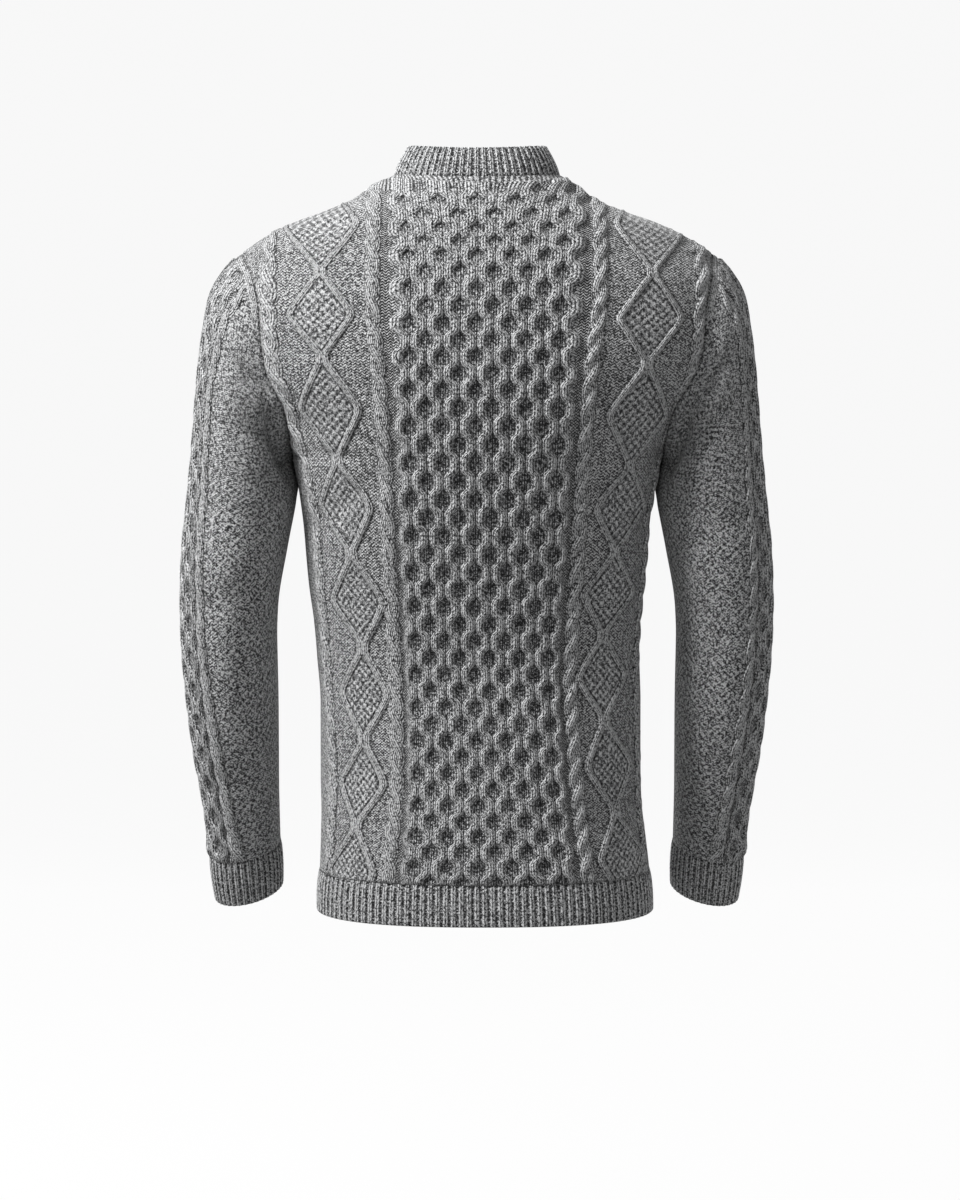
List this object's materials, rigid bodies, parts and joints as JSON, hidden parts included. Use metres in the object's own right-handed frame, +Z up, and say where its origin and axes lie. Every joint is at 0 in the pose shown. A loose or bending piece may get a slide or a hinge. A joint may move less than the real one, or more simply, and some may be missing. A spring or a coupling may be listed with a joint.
{
  "type": "cable knit sweater",
  "caption": "Long-sleeved crew-neck Aran sweater as worn cloth: honeycomb centre, diamond and rope cables, ribbed collar, cuffs and hem, hollow and open at neck, hem and cuffs.",
  "frame": {"origin": "middle of the neck at the height where the shoulder seams meet the collar", "axes": "+Z up, +Y out of the back of the sweater, +X to the wearer's left"},
  "size_m": [0.5576, 0.2529, 0.7147],
  "materials": {
    "body_wool": "matte grey marl wool, cable knit",
    "rib_wool": "matte grey marl wool, one by one rib"
  },
  "bodies": {
    "root": {"back": "body_wool", "front": "body_wool", "sleeve_left": "body_wool", "sleeve_right": "body_wool", "collar_rib": "rib_wool", "hem_rib_back": "rib_wool", "hem_rib_front": "rib_wool", "cuff_rib_left": "rib_wool", "cuff_rib_right": "rib_wool"}
  },
  "joints": []
}
